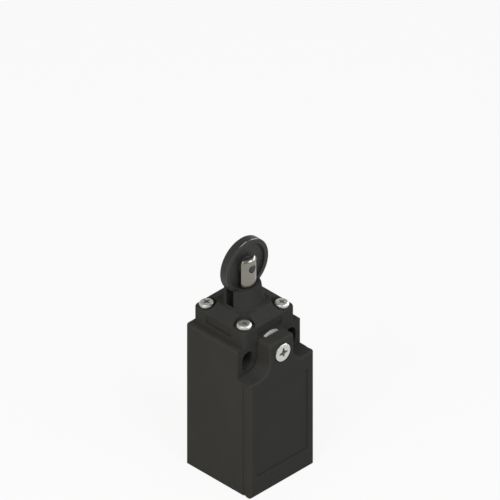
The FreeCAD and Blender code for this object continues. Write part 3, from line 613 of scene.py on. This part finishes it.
roller_black = moulded_plastic("roller_black", (0.0230, 0.0228, 0.0218), 0.42, 4200.0, 0.10, 0.20)
roller_shader = roller_black.node_tree.nodes["Principled BSDF"]
roller_shader.inputs["Coat Roughness"].default_value = 0.10
roller_shader.inputs["Coat IOR"].default_value = 1.5
burnished_mask = roller_black.node_tree.nodes.new("ShaderNodeAttribute")
burnished_mask.attribute_name = "burnished"
roller_black.node_tree.links.new(burnished_mask.outputs["Fac"], roller_shader.inputs["Coat Weight"])

roller_low, roller_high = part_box("roller")
roller_centre = (roller_low + roller_high) / 2
roller_radius = (roller_high.x - roller_low.x) / 2 / millimetre
hub_half = (roller_high.y - roller_low.y) / 2 / millimetre
rim_half = 1.525
rim_width = 1.8
rim_chamfer = 0.15
web_half = 0.6
web_fillet = 0.3
hub_radius = 2.9
bore_radius = 1.55


def with_edges(corners):
    """Profile whose corners (radius, height, edge, steps) are cut back and rounded in steps."""
    profile = []
    count = len(corners)
    for k, (radius, height, edge, steps) in enumerate(corners):
        corner = Vector((radius, height))
        if not edge:
            profile.append((radius, height))
            continue
        before = Vector(corners[k - 1][:2])
        after = Vector(corners[(k + 1) % count][:2])
        start = corner + (before - corner).normalized() * edge
        end = corner + (after - corner).normalized() * edge
        for step in range(steps + 1):
            share = step / steps
            point = start.lerp(corner, share).lerp(corner.lerp(end, share), share)
            profile.append((point.x, point.y))
    return profile


def closed_turning(profile, segments):
    """Turns a closed profile about Z, welds its seam and marks its corners sharp."""
    weld_distance = 1e-5
    crease = math.radians(30)
    mesh = bmesh.new()
    lathed(mesh, profile + profile[:1], 0, segments)
    bmesh.ops.remove_doubles(mesh, verts=mesh.verts, dist=weld_distance)
    for edge in mesh.edges:
        edge.smooth = edge.calc_face_angle(0.0) < crease
    return mesh


def roller_mesh():
    """Roller turned about Z, with a mask on the two outer chamfers of its rim."""
    segments = 192
    inner_rim = roller_radius - rim_width
    upper_half = [(bore_radius, hub_half, 0, 1), (hub_radius, hub_half, 0, 1),
                  (hub_radius, web_half, web_fillet, 3), (inner_rim, web_half, web_fillet, 3),
                  (inner_rim, rim_half, rim_chamfer, 1), (roller_radius, rim_half, rim_chamfer, 1)]
    lower_half = [(radius, -height, edge, steps) for radius, height, edge, steps in reversed(upper_half)]
    mesh = closed_turning(with_edges(upper_half + lower_half), segments)
    burnished = mesh.faces.layers.float.new("burnished")
    chamfer_middle = roller_radius - rim_chamfer / 2
    for face in mesh.faces:
        middle_point = face.calc_center_median()
        from_chamfer = abs(middle_point.xy.length - chamfer_middle)
        if from_chamfer < rim_chamfer / 4 and abs(middle_point.z) > rim_half - rim_chamfer:
            face[burnished] = 1.0
    return finish_mesh(mesh, "roller_burnished")


roller_data = roller_mesh()
roller_data.transform(Matrix.Translation(roller_centre) @ Matrix.Rotation(math.pi / 2, 4, "X"))
roller_data.materials.append(roller_black)
roller_burnished = add_object("roller_burnished", roller_data)
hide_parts("roller")
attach(roller_burnished, "roller")


# Inner works
# Contact block, contacts, springs and bush, which only show when the switch is taken apart.

block_ivory = moulded_plastic("block_ivory", (0.62, 0.60, 0.53), 0.45, 3000.0, 0.2, 0.5)
acetal_white = moulded_plastic("acetal_white", (0.72, 0.71, 0.67), 0.35, 3000.0, 0.1, 0.5)
spring_steel = metal("spring_steel", (0.55, 0.55, 0.56), 0.25, 5000.0, 0.2)
bush_bronze = metal("bush_bronze", (0.50, 0.33, 0.17), 0.45, 1500.0, 0.5)
contact_copper = metal("contact_copper", (0.72, 0.40, 0.25), 0.30, 3000.0, 0.3)
contact_silver = metal("contact_silver", (0.85, 0.84, 0.80), 0.25, 2000.0, 0.2)
terminal_brass = metal("terminal_brass", (0.72, 0.55, 0.26), 0.32, 3000.0, 0.3)
terminal_zinc = metal("terminal_zinc", (0.58, 0.58, 0.55), 0.35, 2500.0, 0.3)
inner_works = [
    (block_ivory, ("contact_block_base", "contact_block_lid")),
    (acetal_white, ("spring_retainer", "actuator_pin", "contact_carrier")),
    (spring_steel, ("return_spring", "transfer_spring", "carrier_spring")),
    (bush_bronze, ("guide_bush",)),
    (contact_copper, ("nc_contact_bridge", "no_contact_bridge")),
    (contact_silver, ("fixed_contact_tips",)),
    (terminal_brass, ("nc_terminal_left", "nc_terminal_right", "no_terminal_left", "no_terminal_right")),
    (terminal_zinc, ("terminal_clamps", "terminal_screws", "block_screws")),
]
for material, names in inner_works:
    for name in names:
        dress(name, material)


# Springs
# Coiled from stainless wire. The return spring lifts the plunger, the transfer spring sits
# between the pin and the contact carrier, and the carrier spring lifts the carrier. Each is a
# welded copy of its CAD coil, carried by its body, and keeps the coil's length.

travel = {joint["name"]: joint["range_m"][1] for joint in frame["record"]["behaviour"]["joints"]
          if "range_m" in joint}
coil_weld = 1e-7
springs = [
    ("return_spring", "switch_body", "plunger_press", travel["plunger_press"]),
    ("transfer_spring", "contact_carrier", "actuator_pin_slide",
     travel["actuator_pin_slide"] - travel["contact_slide"]),
    ("carrier_spring", "switch_body", "contact_slide", travel["contact_slide"]),
]
for spring, body, joint, shortening in springs:
    coil = nodes[spring].data.copy()
    merged = bmesh.new()
    merged.from_mesh(coil)
    bmesh.ops.remove_doubles(merged, verts=merged.verts, dist=coil_weld)
    merged.to_mesh(coil)
    merged.free()
    coil.name = spring + "_wound"
    wound = add_object(coil.name, coil)
    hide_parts(spring)
    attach(wound, body)
    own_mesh(wound)


# Conduit thread
# Moulded in the foot of the housing for the cable gland. Its turns stand as plain rings a
# little proud of the bore, which the housing has at the thread's core.

conduit = next(mount for mount in frame["record"]["mounts"] if mount["name"] == "conduit_entry")
core_radius = conduit["dims"]["r_mm"]
thread_run = conduit["dims"]["length_mm"]
turn_pitch = 1.5
crest_proud = 0.25
root_sunk = 0.02
rooting = 0.15
thread_segments = 96
thread_start = conduit["pos_m"][2] / millimetre - thread_run / 2 + turn_pitch / 2
thread_profile = [(core_radius + rooting, thread_start)]
turn_height = thread_start
for turn in range(int(thread_run / turn_pitch) - 1):
    thread_profile.append((core_radius + root_sunk, turn_height))
    thread_profile.append((core_radius - crest_proud, turn_height + turn_pitch / 2))
    turn_height += turn_pitch
thread_profile.append((core_radius + root_sunk, turn_height))
thread_profile.append((core_radius + rooting, turn_height))
thread_data = finish_mesh(closed_turning(thread_profile, thread_segments), "conduit_thread")
thread_data.transform(Matrix.Translation((conduit["pos_m"][0], conduit["pos_m"][1], 0)))
thread_data.materials.append(housing_black)
conduit_thread = add_object("conduit_thread", thread_data)
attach(conduit_thread, "switch_body")
